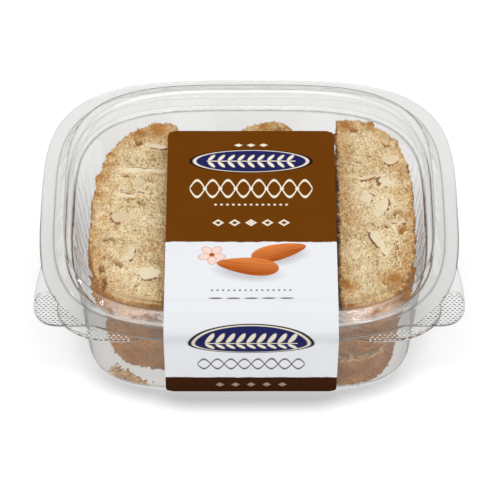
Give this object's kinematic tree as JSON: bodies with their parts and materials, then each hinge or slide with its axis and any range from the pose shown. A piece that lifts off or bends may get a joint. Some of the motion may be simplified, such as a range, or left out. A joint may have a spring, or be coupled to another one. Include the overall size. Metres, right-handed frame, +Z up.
{
  "type": "tub of almond biscotti",
  "caption": "Shut clear rounded tub packed with sliced almond biscotti, with a plain paper label band over its lid and down its front.",
  "frame": {"origin": "the middle of the tub's underside, which is the bottom centre of the whole's box", "axes": "+Z up out of the lid, -Y towards the front with the label and finger tabs, +X to the right seen from the front"},
  "size_m": [0.1854, 0.1692, 0.0581],
  "materials": {
    "clear_plastic": "clear thermoformed PET sheet, glossy",
    "label_paper": "coated paper, white with brown bands, satin",
    "biscotti": "dry baked crumb, matte and porous"
  },
  "bodies": {
    "root": {"tub": "clear_plastic", "lid": "clear_plastic", "label": "label_paper", "biscotti_top_left": "biscotti", "biscotti_top_middle": "biscotti", "biscotti_top_right": "biscotti", "biscotti_middle_left": "biscotti", "biscotti_middle_middle": "biscotti", "biscotti_middle_right": "biscotti", "biscotti_bottom_left": "biscotti", "biscotti_bottom_middle": "biscotti", "biscotti_bottom_right": "biscotti"}
  },
  "joints": []
}
